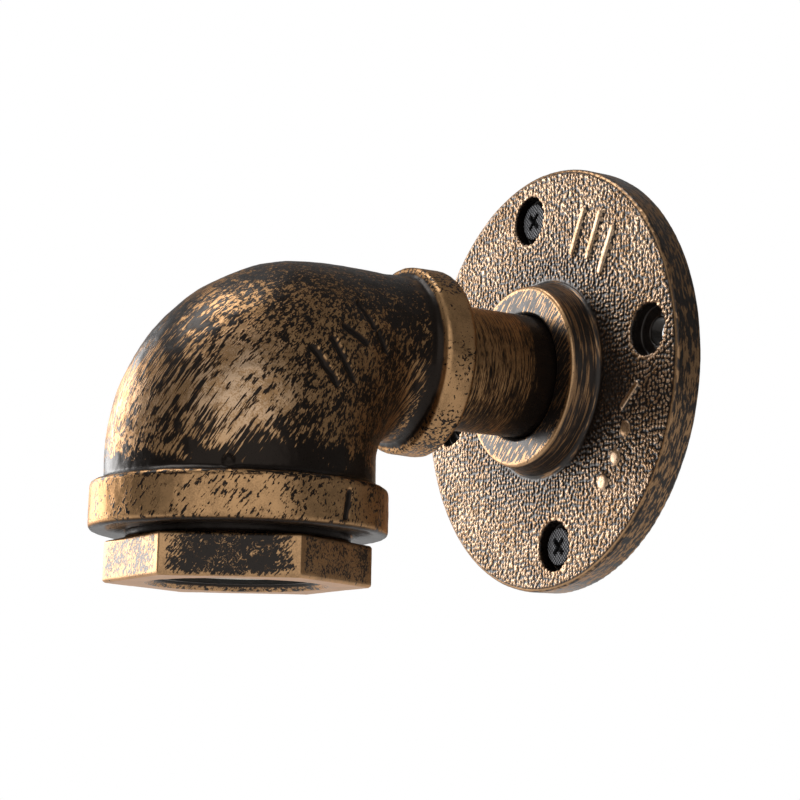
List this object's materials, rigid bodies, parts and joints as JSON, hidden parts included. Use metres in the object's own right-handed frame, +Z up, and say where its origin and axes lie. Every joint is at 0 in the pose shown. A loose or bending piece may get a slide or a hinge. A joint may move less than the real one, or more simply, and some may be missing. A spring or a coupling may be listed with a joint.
{
  "type": "industrial pipe wall light",
  "caption": "Wall light made of pipe fittings: round wall flange, short pipe, reducing elbow and hexagon bushing that holds a screw lampholder facing down.",
  "frame": {"origin": "centre of the wall flange's back face, on the pipe's axis, in the wall plane", "axes": "+Y into the wall along the pipe's axis, -Y out into the room, +Z up, lamp axis along -Z"},
  "size_m": [0.086, 0.1, 0.0883],
  "materials": {
    "antique_bronze_casting": "antique bronze rubbed over black, pebbled face on the flange",
    "antique_bronze_pipe": "antique bronze brushed round the pipe over black",
    "blackened_steel": "black oxide",
    "zinc_plated_steel": "bright zinc plate",
    "black_phenolic": "moulded, semi gloss",
    "white_ceramic": "glazed ceramic",
    "nickel_plated_shell": "nickel plated brass",
    "brass_contacts": "bright brass",
    "spring_steel": "bright wire",
    "brown_insulation": "smooth lead covering",
    "blue_insulation": "smooth lead covering"
  },
  "bodies": {
    "wall_plate": {"wall_flange": "antique_bronze_casting", "flange_screws": "blackened_steel", "mounting_crossbar": "zinc_plated_steel"},
    "arm": {"reducing_elbow": "antique_bronze_casting", "hex_bushing": "antique_bronze_casting", "pipe_nipple": "antique_bronze_pipe", "holder_lock_ring": "zinc_plated_steel", "lampholder_sleeve": "black_phenolic", "lampholder_base": "white_ceramic", "screw_shell": "nickel_plated_shell", "shell_rivets": "brass_contacts", "neutral_rivet": "brass_contacts", "live_plate": "brass_contacts", "neutral_plate": "brass_contacts", "terminal_screws": "zinc_plated_steel", "clamp_washers": "zinc_plated_steel", "contact_spring": "spring_steel", "live_lead": "brown_insulation", "neutral_lead": "blue_insulation"},
    "centre_contact": {"contact_plunger": "brass_contacts"}
  },
  "joints": [
    {"name": "arm_swivel", "type": "hinge", "parent": "wall_plate", "child": "arm", "pos_m": [0, 0, 0], "axis": [0, 1, 0], "range_deg": [-90, 90]},
    {"name": "contact_travel", "type": "slide", "parent": "arm", "child": "centre_contact", "axis": [0, 0, 1], "range_m": [0, 0.002], "stiffness_N_per_m": 800, "springref_m": -0.002, "deforming": ["contact_spring"]}
  ]
}
